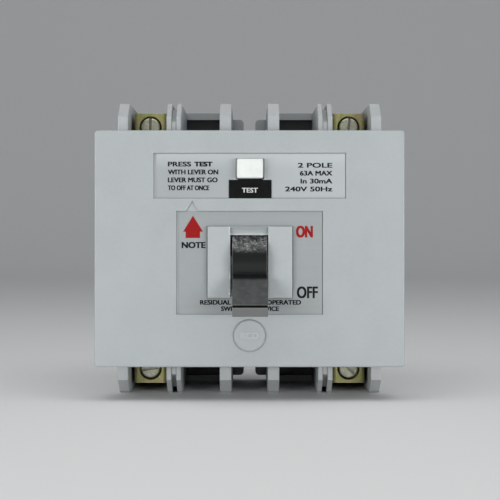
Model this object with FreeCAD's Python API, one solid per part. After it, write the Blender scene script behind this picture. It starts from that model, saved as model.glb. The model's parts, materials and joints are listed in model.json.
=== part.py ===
import FreeCAD, Part
import math
import os

# Two-pole residual current device for screw fixing, with a moulded base, a front
# cover and a toggle lever.  Millimetres.  X to the right, Z up, the front faces -Y.
# The origin is the centre of the back mounting face, so every depth is negative.

V = FreeCAD.Vector
X_AXIS = V(1, 0, 0)
Y_AXIS = V(0, 1, 0)
Z_AXIS = V(0, 0, 1)
SIDES = {"left": -1, "right": 1}
ENDS = {"bottom": -1, "top": 1}

# ---------------------------------------------------------------- driving sizes
DEPTH = 65.0                  # back face to the front of the cover
BASE_HALF_W = 41.05
BASE_HALF_H = 45.65
BASE_WALL = 3.25
BACK_T = 3.0
BASE_FRONT = 47.0             # depth of the ears' front faces
EAR_CHAMFER_Y = 6.8
EAR_CHAMFER_Z = 4.65
INNER_EAR = (5.7, 9.3)
OUTER_EAR = (21.36, 25.87)
GROOVE = (22.8, 24.35)        # partition groove between the outer ear's two ribs
GROOVE_DEPTH = 1.8            # at the ear's end
GROOVE_FRONT_DEPTH = 0.6      # along the ear's front
EAR_EDGE_R = 0.3
CHAMBER_HALF_H = 28.0         # mechanism chamber, inside the cross walls
CROSS_WALL_T = 2.5
POCKET_LIP = 8.0              # height of the lip that ends each unused pocket
POCKET_LIP_T = 2.2
LUG_END = 43.9                # fixing lugs stop short of the ears
FIXING_HALF_PITCH = 38.1      # 76.2 mm between the two fixing screws
FIXING_SLOT_R = 1.98
SLOT_MOUTH_R = 1.4

COVER_HALF_W = 46.25
COVER_HALF_H = 35.3
COVER_WALL = 2.0
COVER_FRONT_T = 2.4
COVER_CORNER_R = 1.0
COVER_EDGE_R = 0.5
RECESS_DEPTH = 0.5
RECESS_EDGE_R = 0.2
LABEL_T = 0.2
UPPER_RECESS = (-28.6, 28.75, 15.0, 28.5)     # low x, high x, low z, high z
LOWER_RECESS = (-21.8, 21.85, -19.6, 11.2)
TEST_PLATE = (-6.15, 6.55, 15.02, 20.5)

BEZEL = (-12.5, 12.75, -14.7, 6.64)
BEZEL_PROUD = 1.2
BEZEL_GAP = 0.1
SLOT_X = (-5.75, 5.6)
RAMP_R, RAMP_AXIS = 2.9, 1.4                  # thumb ramps at the slot's ends
SLOT_Z = (-12.05, 4.05)

LEVER_Y, LEVER_Z = -60.3, -4.0                # lever pivot
DRUM_R = 8.8
DRUM_X = (-5.1, 5.2)
HANDLE_X = (-5.0, 5.35)
LEVER_TILT = 35.0                             # each side of straight ahead
HANDLE_LENGTH = 23.7
HANDLE_FACE = 1.4                             # handle's upper face above its axis
PIVOT_R = 1.5
RUNNING = 0.05                                # radial clearance of a running fit
CRANK_R = 5.78                                # link hole from the lever pivot
LINK_RISE = 8.0                               # far end of the link, above the link hole
LINK_LEAN = 6.0                               # and behind it
LOST_MOTION = 1.4                             # play of the link along the drive arm
LINK_WIRE_R = 0.55
LINK_HALF_W = 5.85

SHAFT_Y, SHAFT_Z = -26.0, 4.0                 # contact shaft
CARRIER_TILT = 8.0                            # drive arm, each side of straight ahead
SHAFT_SQUARE = 3.2
HUB_R = 4.0
CONTACT_DROP = 16.0                           # contact tips below the shaft

PLATE_X = (6.6, 7.6)
TRIP_Y, TRIP_Z = -41.5, 13.0                  # trip lever pivot
TRIP_SHAFT_R = 2.0

TERMINAL_X = 31.6
TERMINAL_Z = 38.5
CAGE_W = 10.4
CAGE_FRONT = 36.0
CAGE_REAR = 11.0
CAGE_T = 1.2
CAGE_Z = (31.2, 43.0)
SCREW_R = 2.95
DISH_R = 3.6
SCREW_SLOT_ANGLES = {"top_left": 90.0, "top_right": 83.0, "bottom_left": 8.0, "bottom_right": -42.0}
BAR_T = 1.6
BAR_HALF_W = 3.3
BAR_FRONT = 13.9

BUTTON_X, BUTTON_Z = 0.15, 23.8
BUTTON_W, BUTTON_H = 7.85, 5.7
BUTTON_PROUD = 2.5
BUTTON_GAP = 0.15
STEM_R = 1.5

CAP_Z = -25.9
CAP_R = 4.8
CAP_PROUD = 0.8

TOROID_Y, TOROID_Z = -18.0, 16.5
TOROID_R, TOROID_BORE_R, TOROID_H = 12.5, 6.4, 11.0
WIRE_R = 1.8
SCREW_SHANK_R = 1.5
COVER_SCREWS = ((-11.3, 24.8), (11.3, 24.8), (-18.0, -23.5), (18.0, -23.5))
FRAME_SCREW_X, FRAME_SCREW_Z = 10.6, -2.0


# ---------------------------------------------------------------- helpers
def box(x, y, z):
    """A block from three (low, high) pairs, in any order within a pair."""
    low = V(min(x), min(y), min(z))
    high = V(max(x), max(y), max(z))
    size = high - low
    return Part.makeBox(size.x, size.y, size.z, low)


def rod(axis, radius, span, centre):
    """A cylinder along an axis; centre holds the two other coordinates."""
    low, high = min(span), max(span)
    if axis == X_AXIS:
        start = V(low, centre[0], centre[1])
    elif axis == Y_AXIS:
        start = V(centre[0], low, centre[1])
    else:
        start = V(centre[0], centre[1], low)
    return Part.makeCylinder(radius, high - low, start, axis)


def cone_y(radius_low, radius_high, span, centre):
    start = V(centre[0], span[0], centre[1])
    return Part.makeCone(radius_low, radius_high, span[1] - span[0], start, Y_AXIS)


def prism_x(points, x):
    """A YZ outline pulled along X."""
    outline = [V(min(x), y, z) for y, z in points]
    face = Part.Face(Part.makePolygon(outline + outline[:1]))
    return face.extrude(V(max(x) - min(x), 0, 0))


def prism_y(points, y):
    """An XZ outline pulled along Y."""
    outline = [V(px, min(y), pz) for px, pz in points]
    face = Part.Face(Part.makePolygon(outline + outline[:1]))
    return face.extrude(V(0, max(y) - min(y), 0))


def fuse(*shapes):
    return shapes[0].multiFuse(list(shapes[1:])).removeSplitter()


def cut(shape, *tools):
    return shape.cut(list(tools))


def group(shapes):
    return Part.makeCompound(list(shapes))


def turned(shape, y, z, degrees):
    """A copy turned about the X direction through (y, z)."""
    copy = shape.copy()
    copy.rotate(V(0, y, z), X_AXIS, degrees)
    return copy


def rounded(shape, radius, chosen):
    """Fillet the edges for which chosen(edge) is true."""
    return shape.makeFillet(radius, [edge for edge in shape.Edges if chosen(edge)])


def along(edge, axis):
    """True for a straight edge parallel to an axis."""
    direction = edge.Vertexes[-1].Point - edge.Vertexes[0].Point
    straight = abs(direction.Length - edge.Length) < 1e-6
    return straight and abs(direction.dot(axis)) > 0.999 * direction.Length


def flat(edge, y):
    """True for an edge that lies in the plane at depth y."""
    return edge.BoundBox.YLength < 1e-6 and abs(edge.BoundBox.YMin - y) < 1e-6


def signed(sign, pair):
    return (sign * pair[0], sign * pair[1])


def wire_path(points, radius, bend):
    """A round wire along points, with its corners rounded by tangent arcs."""
    corners = [V(*point) for point in points]
    edges = []
    start = corners[0]
    for before, corner, after in zip(corners, corners[1:], corners[2:]):
        incoming = (corner - before).normalize()
        outgoing = (after - corner).normalize()
        half_turn = incoming.getAngle(outgoing) / 2
        reach = bend * math.tan(half_turn)
        first = corner - incoming * reach
        last = corner + outgoing * reach
        bisector = (outgoing - incoming).normalize()
        centre = corner + bisector * (bend / math.cos(half_turn))
        middle = centre - bisector * bend
        edges.append(Part.LineSegment(start, first).toShape())
        edges.append(Part.Arc(first, middle, last).toShape())
        start = last
    edges.append(Part.LineSegment(start, corners[-1]).toShape())
    path = Part.Wire(edges)
    direction = (corners[1] - corners[0]).normalize()
    section = Part.Wire([Part.makeCircle(radius, corners[0], direction)])
    return path.makePipeShell([section], True, True)


def coil_y(radius, wire_radius, y, centre, turns):
    """A compression spring along Y, drawn as one helix."""
    pitch = (max(y) - min(y)) / turns
    helix = Part.makeLongHelix(pitch, max(y) - min(y), radius)
    rise = pitch / (2 * math.pi * radius)
    section = Part.Wire([Part.makeCircle(wire_radius, V(radius, 0, 0), V(0, 1, rise))])
    spring = Part.Wire(helix.Edges).makePipeShell([section], True, True)
    spring.rotate(V(0, 0, 0), X_AXIS, -90)
    spring.translate(V(centre[0], min(y), centre[1]))
    return spring


# ---------------------------------------------------------------- base
def ear_outline(end_setback, front_setback):
    """Outline of an ear that ends both ways, set back from the full size."""
    end = BASE_HALF_H - end_setback
    front = -BASE_FRONT + front_setback
    lower_end = end - EAR_CHAMFER_Z
    knee = front + EAR_CHAMFER_Y
    return [(0, -end), (0, end), (knee, end), (front, lower_end), (front, -lower_end), (knee, -end)]


def ear(x, keep=None):
    """An ear with eased outer edges, over the whole height or only where keep is."""
    prism = prism_x(ear_outline(0, 0), x)
    prism = rounded(prism, EAR_EDGE_R, lambda edge: not along(edge, X_AXIS) and edge.BoundBox.YMin < -1)
    return prism.common(keep) if keep else prism


def fixing_lug(end):
    """Back plate between the inner ears, with its open fixing slot."""
    inner = CHAMBER_HALF_H
    width = (-INNER_EAR[0], INNER_EAR[0])
    lug = box(width, (-BACK_T, 0), signed(end, (inner, LUG_END)))
    slot = box((-FIXING_SLOT_R, FIXING_SLOT_R), (-BACK_T, 0), signed(end, (FIXING_HALF_PITCH, LUG_END)))
    eye = rod(Y_AXIS, FIXING_SLOT_R, (-BACK_T, 0), (0, end * FIXING_HALF_PITCH))
    lug = cut(lug, slot, eye)

    def at_mouth(edge):
        box_of_edge = edge.BoundBox
        near_end = abs(box_of_edge.ZMin - end * LUG_END) < 1e-6
        return along(edge, Y_AXIS) and near_end and abs(box_of_edge.XMin) < INNER_EAR[0] - 1
    return rounded(lug, SLOT_MOUTH_R, at_mouth)


def base_housing():
    side = (BASE_HALF_W - BASE_WALL, BASE_HALF_W)
    inside = side[0]
    cross = (CHAMBER_HALF_H, CHAMBER_HALF_H + CROSS_WALL_T)
    solids = [box((-BASE_HALF_W, BASE_HALF_W), (-BACK_T, 0), (-cross[1], cross[1]))]
    for x_sign in SIDES.values():
        solids.append(ear(signed(x_sign, side)))
        # bearing rib that carries the end of the contact shaft
        rib = box(signed(x_sign, (inside - 1.6, inside)), (-30.5, -BACK_T), (SHAFT_Z - 4.5, SHAFT_Z + 4.5))
        mouth = (SHAFT_Z - PIVOT_R - RUNNING, SHAFT_Z + PIVOT_R + RUNNING)
        slot = box(signed(x_sign, (inside - 1.6, inside)), (-30.5, SHAFT_Y), mouth)
        eye = rod(X_AXIS, PIVOT_R + RUNNING, signed(x_sign, (inside - 1.6, inside)), (SHAFT_Y, SHAFT_Z))
        solids.append(cut(rib, slot, eye))
        # boss for a foot of the mechanism frame
        solids.append(rod(Y_AXIS, 3.4, (-8.0, -BACK_T), (x_sign * FRAME_SCREW_X, FRAME_SCREW_Z)))
    for x, z in COVER_SCREWS:
        if z > 0:
            solids.append(rod(Y_AXIS, 2.8, (-44.5, -32.0), (x, z)))
            solids.append(box((x - 2.8, x + 2.8), (-44.5, -32.0), (z, CHAMBER_HALF_H)))
        else:
            solids.append(rod(Y_AXIS, 3.2, (-44.5, -BACK_T), (x, z)))
    saddle = box((-9, 9), (-7, -BACK_T), (TOROID_Z - 5, TOROID_Z + 5))
    solids.append(cut(saddle, rod(Z_AXIS, TOROID_R + 1.15, (0, 40), (0, TOROID_Y))))

    for end in ENDS.values():
        beyond = signed(end, (CHAMBER_HALF_H, BASE_HALF_H + 1))
        keep = box((-60, 60), (-60, 1), beyond)
        wall = box((-inside, inside), (-BASE_FRONT, -BACK_T), signed(end, cross))
        for x_sign in SIDES.values():
            bar_slot = box(signed(x_sign, (TERMINAL_X - BAR_HALF_W - 0.3, TERMINAL_X + BAR_HALF_W + 0.3)),
                           (-BAR_FRONT - 0.4, -BAR_FRONT + BAR_T + 0.3), signed(end, cross))
            wall = cut(wall, bar_slot)
            ribs = (INNER_EAR, (OUTER_EAR[0], GROOVE[0]), (GROOVE[1], OUTER_EAR[1]))
            for rib in ribs:
                solids.append(ear(signed(x_sign, rib), keep))
            groove_floor = prism_x(ear_outline(GROOVE_DEPTH, GROOVE_FRONT_DEPTH), signed(x_sign, GROOVE))
            solids.append(groove_floor.common(keep))
            bay = signed(x_sign, (INNER_EAR[1] - 1, side[1]))
            solids.append(box(bay, (-BACK_T, 0), signed(end, (CHAMBER_HALF_H, BASE_HALF_H))))
            lip = signed(end, (BASE_HALF_H - POCKET_LIP_T, BASE_HALF_H))
            solids.append(box(signed(x_sign, (INNER_EAR[1] - 1, OUTER_EAR[0] + 0.5)), (-POCKET_LIP, 0), lip))
            seat = signed(x_sign, (OUTER_EAR[1] - 0.5, inside + 0.5))
            solids.append(box(seat, (-CAGE_REAR, 0), signed(end, (CHAMBER_HALF_H, CAGE_Z[1]))))
        solids.append(wall)
        solids.append(fixing_lug(end))
    holes = []
    for x, z in COVER_SCREWS:
        holes.append(rod(Y_AXIS, SCREW_SHANK_R + RUNNING, (-44.6, -35.0), (x, z)))
    for x_sign in SIDES.values():
        centre = (x_sign * FRAME_SCREW_X, FRAME_SCREW_Z)
        holes.append(rod(Y_AXIS, SCREW_SHANK_R + RUNNING, (-8.1, -1.5), centre))
    # the cage seats must not close the slots that the bars pass through
    for end in ENDS.values():
        for x_sign in SIDES.values():
            holes.append(box(signed(x_sign, (TERMINAL_X - 3.6, TERMINAL_X + 3.6)),
                             (-BAR_FRONT - 0.4, -BAR_FRONT + BAR_T + 0.3),
                             signed(end, (CHAMBER_HALF_H - 1, CHAMBER_HALF_H + 4))))
    return cut(fuse(*solids), *holes)


def pocket_liners():
    """Dark insulating pieces on the floor of the four unused pockets."""
    pieces = []
    clear = 0.1
    width = (INNER_EAR[1] + clear, OUTER_EAR[0] - clear)
    length = (CHAMBER_HALF_H + CROSS_WALL_T + clear, BASE_HALF_H - POCKET_LIP_T - clear)
    for end in ENDS.values():
        for x_sign in SIDES.values():
            pieces.append(box(signed(x_sign, width), (-BACK_T - 1.5, -BACK_T), signed(end, length)))
    return group(pieces)


def mechanism_cover():
    plate_y = (-BASE_FRONT, -BASE_FRONT + 2.5)
    inside = BASE_HALF_W - BASE_WALL
    plate = box((-inside + 0.3, inside - 0.3), plate_y, (-CHAMBER_HALF_H + 0.3, CHAMBER_HALF_H - 0.3))
    stem_boss = rod(Y_AXIS, 3.6, (-BASE_FRONT - 2.2, -BASE_FRONT), (BUTTON_X, BUTTON_Z))
    screw_boss = rod(Y_AXIS, 3.4, (-59.4, -BASE_FRONT), (0, CAP_Z))
    lid = fuse(plate, stem_boss, screw_boss)
    tools = [
        box((-8.4, 8.4), plate_y, (-13.5, 17.0)),
        rod(Y_AXIS, STEM_R + 0.1, (-50, -40), (BUTTON_X, BUTTON_Z)),
        rod(Y_AXIS, SCREW_SHANK_R + RUNNING, (-60, -49.2), (0, CAP_Z)),
    ]
    for centre in COVER_SCREWS:
        tools.append(rod(Y_AXIS, SCREW_SHANK_R + 0.2, (-50, -40), centre))
    return cut(lid, *tools)


def machine_screw(head_r, head_y, tip_y, centre, shank_r):
    """A slotted screw whose head stands from head_y[0] to head_y[1]."""
    head = rod(Y_AXIS, head_r, head_y, centre)
    shank = rod(Y_AXIS, shank_r, (head_y[1], tip_y), centre)
    slot = box((centre[0] - head_r, centre[0] + head_r), (head_y[0], head_y[0] + 0.9),
               (centre[1] - 0.4, centre[1] + 0.4))
    return cut(fuse(head, shank), slot)


def mechanism_cover_screws():
    head = (-BASE_FRONT - 1.9, -BASE_FRONT)
    return group(machine_screw(2.6, head, -36.0, centre, SCREW_SHANK_R) for centre in COVER_SCREWS)


# ---------------------------------------------------------------- front cover and labels
def recess_side(edge):
    return abs(edge.BoundBox.XMin) < COVER_HALF_W - 5 and abs(edge.BoundBox.ZMin) < COVER_HALF_H - 5


def front_cover():
    front = -DEPTH
    width, height = (-COVER_HALF_W, COVER_HALF_W), (-COVER_HALF_H, COVER_HALF_H)
    shell = box(width, (front, -BASE_FRONT), height)
    shell = rounded(shell, COVER_CORNER_R, lambda edge: along(edge, Y_AXIS))
    shell = rounded(shell, COVER_EDGE_R, lambda edge: flat(edge, front))
    inner_w, inner_h = COVER_HALF_W - COVER_WALL, COVER_HALF_H - COVER_WALL
    hollow = box((-inner_w, inner_w), (front + COVER_FRONT_T, -BASE_FRONT), (-inner_h, inner_h))
    shell = cut(shell, hollow)

    screw_boss = rod(Y_AXIS, 6.2, (front + COVER_FRONT_T, -59.5), (0, CAP_Z))
    extras = [screw_boss]
    for end in ENDS.values():
        for x_sign in SIDES.values():
            # tongue that locates the cover over the cross wall
            reach = signed(end, (CHAMBER_HALF_H + CROSS_WALL_T + 0.3, CHAMBER_HALF_H + CROSS_WALL_T + 1.9))
            extras.append(box(signed(x_sign, (13.0, 17.6)), (front + COVER_FRONT_T, -44.0), reach))
    shell = fuse(shell, *extras)

    for low_x, high_x, low_z, high_z in (UPPER_RECESS, LOWER_RECESS):
        shell = cut(shell, box((low_x, high_x), (front, front + RECESS_DEPTH), (low_z, high_z)))
    shell = rounded(shell, RECESS_EDGE_R, lambda edge: flat(edge, front) and recess_side(edge))
    bezel_hole = box((BEZEL[0] - BEZEL_GAP, BEZEL[1] + BEZEL_GAP), (front, front + 4),
                     (BEZEL[2] - BEZEL_GAP, BEZEL[3] + BEZEL_GAP))
    button_hole = box((BUTTON_X - BUTTON_W / 2 - BUTTON_GAP, BUTTON_X + BUTTON_W / 2 + 2 * BUTTON_GAP),
                      (front, front + 4),
                      (BUTTON_Z - BUTTON_H / 2 - BUTTON_GAP, BUTTON_Z + BUTTON_H / 2 + BUTTON_GAP))
    cap_seat = rod(Y_AXIS, CAP_R + 0.1, (front, front + 1.5), (0, CAP_Z))
    head_seat = rod(Y_AXIS, 3.2, (front, front + 3.6), (0, CAP_Z))
    screw_hole = rod(Y_AXIS, SCREW_SHANK_R + 0.25, (front, -59), (0, CAP_Z))
    pointer = prism_y([(-17.07, 14.4), (-19.05, 11.0), (-15.1, 11.0)], (front, front + 0.4))
    return cut(shell, bezel_hole, button_hole, cap_seat, head_seat, screw_hole, pointer)


def label(recess, side_gap, window):
    low_x, high_x, low_z, high_z = recess
    back = -DEPTH + RECESS_DEPTH
    sheet = box((low_x + side_gap, high_x - 0.2), (back - LABEL_T, back), (low_z + 0.2, high_z - 0.2))
    return cut(sheet, box(window[:2], (back - 1, back + 1), window[2:]))


def upper_label():
    half_w = BUTTON_W / 2 + 0.35
    half_h = BUTTON_H / 2 + 0.25
    window = (BUTTON_X - half_w, BUTTON_X + half_w, BUTTON_Z - half_h, BUTTON_Z + half_h)
    return label(UPPER_RECESS, 0.8, window)


def lower_label():
    gap = 0.25
    return label(LOWER_RECESS, 0.7, (BEZEL[0] - gap, BEZEL[1] + gap, BEZEL[2] - gap, BEZEL[3] + gap))


def test_legend_plate():
    back = -DEPTH + RECESS_DEPTH - LABEL_T
    low_x, high_x, low_z, high_z = TEST_PLATE
    depth = (back - 0.2, back)
    tongue_top = BUTTON_Z - BUTTON_H / 2 - BUTTON_GAP
    tongue = box((BUTTON_X - 3.7, BUTTON_X + 3.7), depth, (high_z, tongue_top))
    return fuse(box((low_x, high_x), depth, (low_z, high_z)), tongue)


def cover_screw():
    return machine_screw(2.9, (-DEPTH + 1.7, -DEPTH + 3.6), -50.0, (0, CAP_Z), SCREW_SHANK_R)


def cover_screw_cap():
    """Round snap-in cap with a bevelled rim, over the cover screw."""
    front = -DEPTH - CAP_PROUD
    disc = rod(Y_AXIS, CAP_R, (front, -DEPTH + 1.5), (0, CAP_Z))
    return disc.makeChamfer(0.45, [edge for edge in disc.Edges if flat(edge, front)])


# ---------------------------------------------------------------- lever surround and lever
def lever_bezel():
    front = -DEPTH - BEZEL_PROUD
    inner = -DEPTH + COVER_FRONT_T + 0.1
    low_x, high_x, low_z, high_z = BEZEL
    block = box((low_x, high_x), (front, inner + 1.2), (low_z, high_z))
    block = rounded(block, 0.3, lambda edge: flat(edge, front))
    flange = box((-14.8, 14.8), (inner, inner + 1.2), (low_z - 2.3, high_z + 2.3))
    legs = [box(signed(x_sign, (9.0, 12.3)), (inner, -BASE_FRONT), (-14.4, 6.3))
            for x_sign in SIDES.values()]
    body = fuse(block, flange, *legs)
    slot = box(SLOT_X, (front - 1, -40), SLOT_Z)
    cavity = box((-8.4, 8.4), (-64.5, -40), (-13.3, 5.5))
    ramps = [rod(X_AXIS, RAMP_R, SLOT_X, (front - RAMP_AXIS, z)) for z in SLOT_Z]
    return cut(body, slot, cavity, *ramps)


def lever_pivot_pin():
    return rod(X_AXIS, PIVOT_R, (-PLATE_X[1] - 0.5, PLATE_X[1] + 0.5), (LEVER_Y, LEVER_Z))


def crank_point():
    """Link hole in the lever, with the lever in its lower position."""
    turn = math.radians(LEVER_TILT)
    return LEVER_Y + CRANK_R * math.cos(turn), LEVER_Z + CRANK_R * math.sin(turn)


def switch_lever():
    """Drum and handle, modelled pointing straight ahead and then turned down."""
    drum = rod(X_AXIS, DRUM_R, DRUM_X, (LEVER_Y, LEVER_Z))
    tip = LEVER_Y - HANDLE_LENGTH
    face = LEVER_Z + HANDLE_FACE
    under_tip = face - 3.9
    under_root = face - 5.6
    outline = [(LEVER_Y, face), (tip + 0.7, face), (tip + 0.7, face - 0.6), (tip, face - 0.6),
               (tip, under_tip), (LEVER_Y - 7.0, under_root), (LEVER_Y, under_root)]
    handle = prism_x(outline, HANDLE_X)
    handle = rounded(handle, 0.3, lambda edge: edge.BoundBox.YMin < tip + 0.4
                     and edge.BoundBox.ZMin < face - 1)
    handle = rounded(handle, 0.25, lambda edge: along(edge, Y_AXIS) and edge.BoundBox.ZMin > face - 0.1)
    lever = fuse(drum, handle)
    lever = cut(lever, rod(X_AXIS, PIVOT_R + RUNNING, (-20, 20), (LEVER_Y, LEVER_Z)))
    lever = turned(lever, LEVER_Y, LEVER_Z, LEVER_TILT)
    return cut(lever, rod(X_AXIS, LINK_WIRE_R + RUNNING, (-20, 20), crank_point()))


def lever_return_spring():
    """Torsion spring beside the drum, one coil stack on each side of it."""
    coils = []
    for x_sign in SIDES.values():
        span = signed(x_sign, (DRUM_X[1] + 0.25, PLATE_X[0] - 0.1))
        coil = cut(rod(X_AXIS, 3.1, span, (LEVER_Y, LEVER_Z)), rod(X_AXIS, 2.0, span, (LEVER_Y, LEVER_Z)))
        leg = box(span, (LEVER_Y - 3.0, LEVER_Y - 2.3), (LEVER_Z - 8.5, LEVER_Z))
        leg = cut(leg, rod(X_AXIS, 2.0, span, (LEVER_Y, LEVER_Z)))
        coils.append(fuse(coil, leg))
    return group(coils)


def link_end():
    """Far end of the link, in the drive arm's slot, with the lever in its lower position."""
    y, z = crank_point()
    return y + LINK_LEAN, z + LINK_RISE


def toggle_link():
    """U-shaped wire that straddles the drum and ends in the drive arm."""
    near = crank_point()
    far = link_end()
    length = math.hypot(LINK_LEAN, LINK_RISE)
    pieces = [rod(X_AXIS, LINK_WIRE_R, (-LINK_HALF_W, LINK_HALF_W), near)]
    for x_sign in SIDES.values():
        x = x_sign * LINK_HALF_W
        pieces.append(Part.makeCylinder(LINK_WIRE_R, length, V(x, *near), V(0, LINK_LEAN, LINK_RISE)))
        pieces.append(rod(X_AXIS, LINK_WIRE_R, (x, x_sign * 1.2), far))
        pieces.append(Part.makeSphere(LINK_WIRE_R, V(x, *near)))
        pieces.append(Part.makeSphere(LINK_WIRE_R, V(x, *far)))
    return fuse(*pieces)


# ---------------------------------------------------------------- mechanism frame
def side_plate(x_sign):
    x = signed(x_sign, PLATE_X)
    nose = rod(X_AXIS, 3.5, x, (LEVER_Y, LEVER_Z))
    spine = prism_x([(-60.3, -7.5), (-60.3, -0.5), (-49.0, 4.5), (-49.0, 5.5), (-45.0, 9.0), (-43.9, 14.0),
                     (-39.0, 14.0), (-38.0, 8.5), (-21.6, 8.5), (-21.6, 5.0), (-8.0, 5.0), (-8.0, -9.0),
                     (-50.0, -9.0)], x)
    ear = rod(X_AXIS, 3.2, x, (TRIP_Y, TRIP_Z))
    foot = box(signed(x_sign, (PLATE_X[0], 14.0)), (-9.0, -8.0), (-5.5, 2.0))
    plate = fuse(nose, spine, ear, foot)
    return cut(plate,
               rod(X_AXIS, PIVOT_R, (-20, 20), (LEVER_Y, LEVER_Z)),
               rod(X_AXIS, PIVOT_R + RUNNING, (-20, 20), (SHAFT_Y, SHAFT_Z)),
               rod(X_AXIS, TRIP_SHAFT_R + RUNNING, (-20, 20), (TRIP_Y, TRIP_Z)),
               rod(Y_AXIS, SCREW_SHANK_R + 0.1, (-12, -6), (x_sign * FRAME_SCREW_X, FRAME_SCREW_Z)))


def frame_spacers():
    centres = ((-14.0, -4.0), (-39.0, -6.6))
    return group(rod(X_AXIS, 1.6, (-PLATE_X[0], PLATE_X[0]), centre) for centre in centres)


def frame_screws():
    centres = [(x_sign * FRAME_SCREW_X, FRAME_SCREW_Z) for x_sign in SIDES.values()]
    return group(machine_screw(2.5, (-10.8, -9.0), -2.0, centre, SCREW_SHANK_R) for centre in centres)


def trip_lever():
    """Moulded bar across the frame, with a latch finger and an arm to the relay."""
    bar = rod(X_AXIS, TRIP_SHAFT_R, (-8.3, 23.0), (TRIP_Y, TRIP_Z))
    finger = box((-2.0, 2.0), (TRIP_Y - 1.0, TRIP_Y + 1.0), (9.7, TRIP_Z))
    arm = box((19.0, 23.0), (TRIP_Y, TRIP_Y + 8.0), (TRIP_Z - 2.0, TRIP_Z - 0.5))
    collar = rod(X_AXIS, 2.8, (PLATE_X[1] + 0.2, PLATE_X[1] + 1.4), (TRIP_Y, TRIP_Z))
    return fuse(bar, finger, arm, collar)


# ---------------------------------------------------------------- contact system
def carrier_shaft():
    half = SHAFT_SQUARE / 2
    ends = 37.6
    pieces = [rod(X_AXIS, PIVOT_R, (-ends, ends), (SHAFT_Y, SHAFT_Z))]
    for span in ((-5.9, 5.9), (8.0, 35.6), (-35.6, -8.0)):
        pieces.append(box(span, (SHAFT_Y - half, SHAFT_Y + half), (SHAFT_Z - half, SHAFT_Z + half)))
    return fuse(*pieces)


def square_bore(span):
    half = SHAFT_SQUARE / 2 + 0.03
    return box(span, (SHAFT_Y - half, SHAFT_Y + half), (SHAFT_Z - half, SHAFT_Z + half))


def drive_arm():
    """Arm between the side plates, drawn straight ahead and then raised."""
    far_y, far_z = link_end()
    end_y = SHAFT_Y - math.hypot(SHAFT_Y - far_y, far_z - SHAFT_Z)
    hub = rod(X_AXIS, HUB_R, (-5.6, 5.6), (SHAFT_Y, SHAFT_Z))
    arm = box((-2.4, 2.4), (end_y - 1.8, SHAFT_Y), (SHAFT_Z - 2.3, SHAFT_Z + 2.3))
    body = turned(fuse(hub, arm), SHAFT_Y, SHAFT_Z, -CARRIER_TILT)
    # lost-motion slot, along the arm, for the ends of the link
    slot_r = LINK_WIRE_R + 0.2
    ends = (end_y, end_y + LOST_MOTION)
    slot = box((-3, 3), ends, (SHAFT_Z - slot_r, SHAFT_Z + slot_r))
    rounds = [rod(X_AXIS, slot_r, (-3, 3), (y, SHAFT_Z)) for y in ends]
    slot = turned(fuse(slot, *rounds), SHAFT_Y, SHAFT_Z, -CARRIER_TILT)
    return cut(body, slot, square_bore((-6, 6)))


def opened(shape):
    """Turn a contact part from its closed place to its open one, its rest."""
    return turned(shape, SHAFT_Y, SHAFT_Z, -2 * CARRIER_TILT)


def contact_carrier(x_sign):
    centre = TERMINAL_X
    span = signed(x_sign, (8.2, 35.6))
    hub = rod(X_AXIS, HUB_R, span, (SHAFT_Y, SHAFT_Z))
    shoe = box(signed(x_sign, (centre - 3.7, centre + 3.7)), (-30.0, -27.6), (-9.0, SHAFT_Z))
    pocket = box(signed(x_sign, (centre - 3.1, centre + 3.1)), (-24.7, -20), (-3, 2.2))
    return cut(opened(cut(fuse(hub, shoe), pocket)), square_bore(span))


def contact_arm(x_sign):
    centre = TERMINAL_X
    arm = box(signed(x_sign, (centre - 3.0, centre + 3.0)), (-24.6, -23.1), (-14.5, 2.1))
    arm = rounded(arm, 1.5, lambda edge: along(edge, Y_AXIS) and edge.BoundBox.ZMin < -14)
    # the square shaft passes in front of the head of the arm
    return cut(opened(arm), square_bore(signed(x_sign, (centre - 4, centre + 4))))


def contact_tips():
    height = SHAFT_Z - CONTACT_DROP
    return group(opened(rod(Y_AXIS, 1.9, (-23.1, -21.6), (x_sign * TERMINAL_X, height)))
                 for x_sign in SIDES.values())


def contact_springs():
    """Pressure springs between the carriers' shoes and the contact arms."""
    return group(opened(coil_y(1.5, 0.22, (-27.3, -24.9), (x_sign * TERMINAL_X, -6.0), 3))
                 for x_sign in SIDES.values())


def fixed_contacts():
    height = SHAFT_Z - CONTACT_DROP
    return group(rod(Y_AXIS, 2.0, (-21.5, -20.0), (x_sign * TERMINAL_X, height))
                 for x_sign in SIDES.values())


def supply_busbar(x_sign):
    """Bar from the bottom terminal, stepped forward to the fixed contact."""
    front = -BAR_FRONT
    outline = [(-20.0, -8.0), (-20.0 + BAR_T, -8.0), (-20.0 + BAR_T, -23.6), (front + BAR_T, -23.6),
               (front + BAR_T, -42.9), (front, -42.9), (front, -25.2), (-20.0, -25.2)]
    return prism_x(outline, signed(x_sign, (TERMINAL_X - BAR_HALF_W, TERMINAL_X + BAR_HALF_W)))


def load_tail(x_sign):
    """Bar from the top terminal to the start of the primary conductor."""
    x = signed(x_sign, (TERMINAL_X - BAR_HALF_W, TERMINAL_X + BAR_HALF_W))
    return box(x, (-BAR_FRONT, -BAR_FRONT + BAR_T), (22.5, 42.9))


def primary_conductor(x_sign):
    """Insulated conductor from the load tail, through the core, to the contact arm."""
    y = TOROID_Y
    in_core = x_sign * 2.3
    over_tail = -BAR_FRONT - WIRE_R - RUNNING
    points = [(x_sign * 33.6, over_tail, 25.2), (x_sign * 26.0, over_tail, 25.2),
              (x_sign * 20.0, y, 25.2), (in_core, y, 25.2), (in_core, y, 8.0), (x_sign * 25.4, y, 8.0),
              (x_sign * 25.4, y, -5.0)]
    return wire_path(points, WIRE_R, 2.2)


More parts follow.
